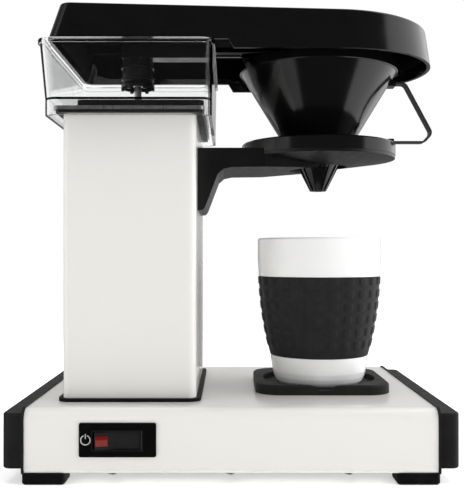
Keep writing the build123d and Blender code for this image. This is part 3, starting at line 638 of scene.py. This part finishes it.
def floor_material():
    """White floor near the object, brightening into the backdrop further out."""
    material = bpy.data.materials.new("floor_white")
    material.use_nodes = True
    tree = material.node_tree
    tree.nodes.clear()
    where = place(tree)
    reach = tree.nodes.new("ShaderNodeVectorMath")
    reach.operation = "LENGTH"
    tree.links.new(where, reach.inputs[0])
    away = remap(tree, reach.outputs["Value"], 0.0, 1.0, *FLOOR_FADE)
    near = tree.nodes.new("ShaderNodeBsdfDiffuse")
    tone = ramp(tree, noise(tree, where, 60), [(0.3, grey(0.90)), (0.7, grey(0.92))])
    tree.links.new(tone, near.inputs["Color"])
    lift = tree.nodes.new("ShaderNodeEmission")
    lift.inputs["Strength"].default_value = FLOOR_LIFT
    sum_near = tree.nodes.new("ShaderNodeAddShader")
    tree.links.new(near.outputs[0], sum_near.inputs[0])
    tree.links.new(lift.outputs[0], sum_near.inputs[1])
    far = tree.nodes.new("ShaderNodeEmission")
    far.inputs["Strength"].default_value = BACKDROP
    blend = tree.nodes.new("ShaderNodeMixShader")
    tree.links.new(away, blend.inputs["Fac"])
    tree.links.new(sum_near.outputs[0], blend.inputs[1])
    tree.links.new(far.outputs[0], blend.inputs[2])
    out = tree.nodes.new("ShaderNodeOutputMaterial")
    tree.links.new(blend.outputs[0], out.inputs["Surface"])
    return material


def floor():
    """A round sheet of floor under the object."""
    points = []
    for radius in FLOOR_RADII:
        for i in range(FLOOR_SIDES):
            angle = 2 * math.pi * i / FLOOR_SIDES
            points.append((radius * math.cos(angle), radius * math.sin(angle), 0.0))
    faces = ring_faces(FLOOR_SIDES, len(FLOOR_RADII), closed_along=False)
    faces.append(tuple(range(FLOOR_SIDES)))
    piece = mesh_piece("studio_floor", points, faces, floor_material(), smooth=False)
    piece.location.z = -FLOOR_DROP * MM
    piece.visible_glossy = False


def calculate(tree, operation, first, second):
    """The result of an operation on a value and another value or number."""
    node = tree.nodes.new("ShaderNodeMath")
    node.operation = operation
    tree.links.new(first, node.inputs[0])
    if isinstance(second, float):
        node.inputs[1].default_value = second
    else:
        tree.links.new(second, node.inputs[1])
    return node.outputs[0]


def choose(tree, switch, off, on, start=0.0, end=1.0):
    """The off value where switch is at its start and the on value, or the backdrop's, at its end."""
    node = tree.nodes.new("ShaderNodeMapRange")
    node.inputs["From Min"].default_value = start
    node.inputs["From Max"].default_value = end
    tree.links.new(switch, node.inputs["Value"])
    tree.links.new(off, node.inputs["To Min"])
    if on is None:
        node.inputs["To Max"].default_value = BACKDROP
    else:
        tree.links.new(on, node.inputs["To Max"])
    return node.outputs["Result"]


def world():
    """A white backdrop for the camera and through clear plastic, and a dim room for the rest."""
    made = bpy.data.worlds.new("studio_world")
    bpy.context.scene.world = made
    made.use_nodes = True
    tree = made.node_tree
    tree.nodes.clear()
    coordinates = tree.nodes.new("ShaderNodeTexCoord")
    axes = tree.nodes.new("ShaderNodeSeparateXYZ")
    tree.links.new(coordinates.outputs["Generated"], axes.inputs["Vector"])
    sideways = remap(tree, axes.outputs["Y"], 0.0, 1.0, -1.0, 1.0)
    behind = ramp(tree, sideways, [((y + 1) / 2, grey(level)) for y, level in ROOM])
    below = remap(tree, axes.outputs["Z"], ROOM_BELOW, 1.0, *HORIZON)
    forwards = calculate(tree, "MULTIPLY", axes.outputs["Y"], -1.0)
    around = calculate(tree, "ARCTAN2", axes.outputs["X"], forwards)
    turn = remap(tree, around, 0.0, 1.0, -math.pi, math.pi)
    panels = ramp(tree, turn, [(angle / 360 + 0.5, grey(level)) for angle, level in PANELS])
    room = calculate(tree, "ADD", calculate(tree, "MULTIPLY", behind, below), panels)
    backdrop = remap(tree, axes.outputs["Z"], BACKDROP, BACKDROP_ABOVE, *BACKDROP_DIMS)
    mirrored = choose(tree, axes.outputs["Y"], room, backdrop, *BEHIND)
    paths = tree.nodes.new("ShaderNodeLightPath")
    through = choose(tree, paths.outputs["Glossy Depth"], backdrop, mirrored)
    clear = choose(tree, paths.outputs["Is Transmission Ray"], room, through)
    strength = choose(tree, paths.outputs["Is Camera Ray"], clear, None)
    shader = tree.nodes.new("ShaderNodeBackground")
    shader.inputs["Color"].default_value = (1.0, 1.0, 1.0, 1.0)
    tree.links.new(strength, shader.inputs["Strength"])
    out = tree.nodes.new("ShaderNodeOutputWorld")
    tree.links.new(shader.outputs[0], out.inputs["Surface"])


def softbox(name, azimuth, elevation, distance, width, height, radiance):
    """A rectangular soft light aimed at the middle of the object."""
    light = bpy.data.lights.new(name, "AREA")
    light.shape = "RECTANGLE"
    light.size = width
    light.size_y = height
    light.energy = AREA_LIGHT_FACTOR * radiance * width * height
    a = math.radians(azimuth)
    e = math.radians(elevation)
    outwards = Vector((math.sin(a) * math.cos(e), -math.cos(a) * math.cos(e), math.sin(e)))
    lamp = bpy.data.objects.new(name, light)
    lamp.location = CENTRE + outwards * distance
    lamp.rotation_euler = (-outwards).to_track_quat("-Z", "Y").to_euler()
    lamp.visible_camera = False
    lamp.visible_transmission = False
    lamp.visible_glossy = False
    bpy.context.scene.collection.objects.link(lamp)


def camera():
    """A level camera whose frame is shifted instead of being tilted."""
    view = bpy.data.cameras.new("camera")
    view.lens = CAMERA_LENS
    view.sensor_width = 36.0
    view.shift_x = CAMERA_SHIFT[0]
    view.shift_y = CAMERA_SHIFT[1]
    view.clip_start = 0.01
    view.clip_end = 50.0
    eye = bpy.data.objects.new("camera", view)
    eye.location = (CENTRE.x + CAMERA_SIDE, cad_low.y - CAMERA_BEFORE_FRONT, CAMERA_HIGH)
    eye.rotation_euler = (math.radians(90), 0, 0)
    bpy.context.scene.collection.objects.link(eye)
    bpy.context.scene.camera = eye


bpy.context.scene.view_settings.view_transform = "Standard"
camera()
world()
floor()
for box_name, values in SOFTBOXES.items():
    softbox(box_name, *values)
looks = make_looks()
dress_nodes(looks)
sleeve(looks)
# The dark sheet inside the cover, as painted shade.
painted_shade_lining(looks)
power_mark(looks)
